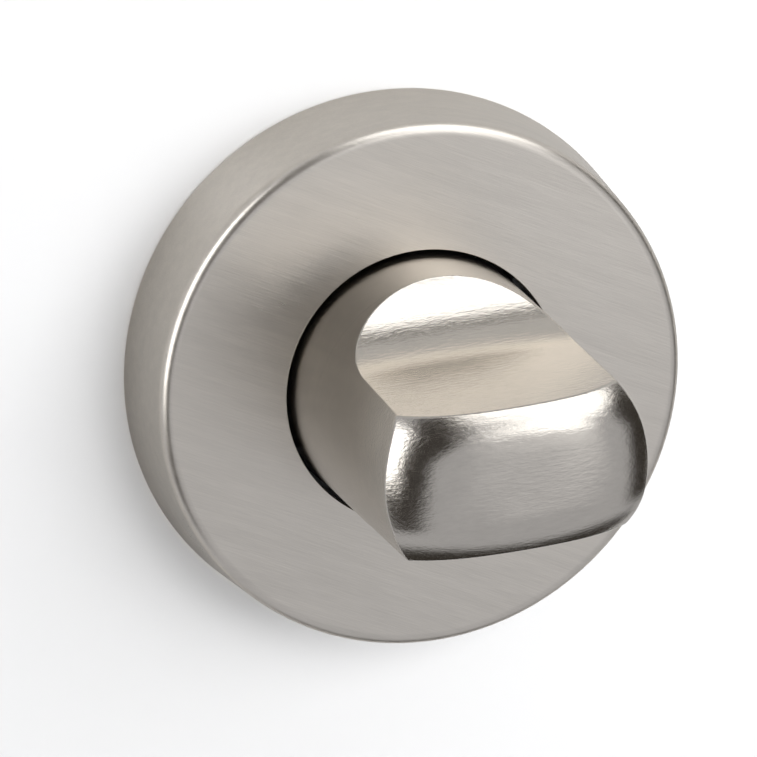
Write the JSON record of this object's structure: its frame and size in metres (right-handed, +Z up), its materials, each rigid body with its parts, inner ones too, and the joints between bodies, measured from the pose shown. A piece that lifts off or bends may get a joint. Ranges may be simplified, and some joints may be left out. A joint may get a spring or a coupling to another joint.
{
  "type": "bathroom thumb turn lock",
  "caption": "Round-rose bathroom thumb turn in satin nickel: a cylindrical turn scooped into a flat bar grip, with a square spindle and through-door screws behind.",
  "frame": {"origin": "on the spindle's axis, in the plane of the door's face, which is the back of the rose", "axes": "-Y out of the door towards the person who turns it, +Y into the door, +Z up, +X to the right as one faces the rose; the grip lies along X at rest"},
  "size_m": [0.05, 0.097, 0.05],
  "materials": {
    "satin_nickel_rose": "satin nickel plate with fine brush lines",
    "satin_nickel_turn": "satin nickel plate, softly brushed",
    "cast_zinc": "bare die-cast zinc, dull",
    "black_acetal": "dark self-lubricating plastic",
    "spring_steel": "oiled spring steel",
    "zinc_plated_steel": "bright zinc plate",
    "plain_steel": "cold-drawn bar",
    "black_steel": "black oxide"
  },
  "bodies": {
    "rose": {"rose_cover": "satin_nickel_rose", "base_plate": "cast_zinc", "bearing_bush": "black_acetal", "snap_ring": "spring_steel", "fixing_screws": "zinc_plated_steel", "wave_washer": "spring_steel"},
    "turn": {"thumb_turn": "satin_nickel_turn", "spindle": "plain_steel", "set_screw": "black_steel", "thrust_washer": "zinc_plated_steel", "retaining_ring": "black_steel"}
  },
  "joints": [
    {"name": "turn_spin", "type": "hinge", "parent": "rose", "child": "turn", "pos_m": [0, 0, 0], "axis": [0, 1, 0], "range_deg": [-90, 90]}
  ]
}
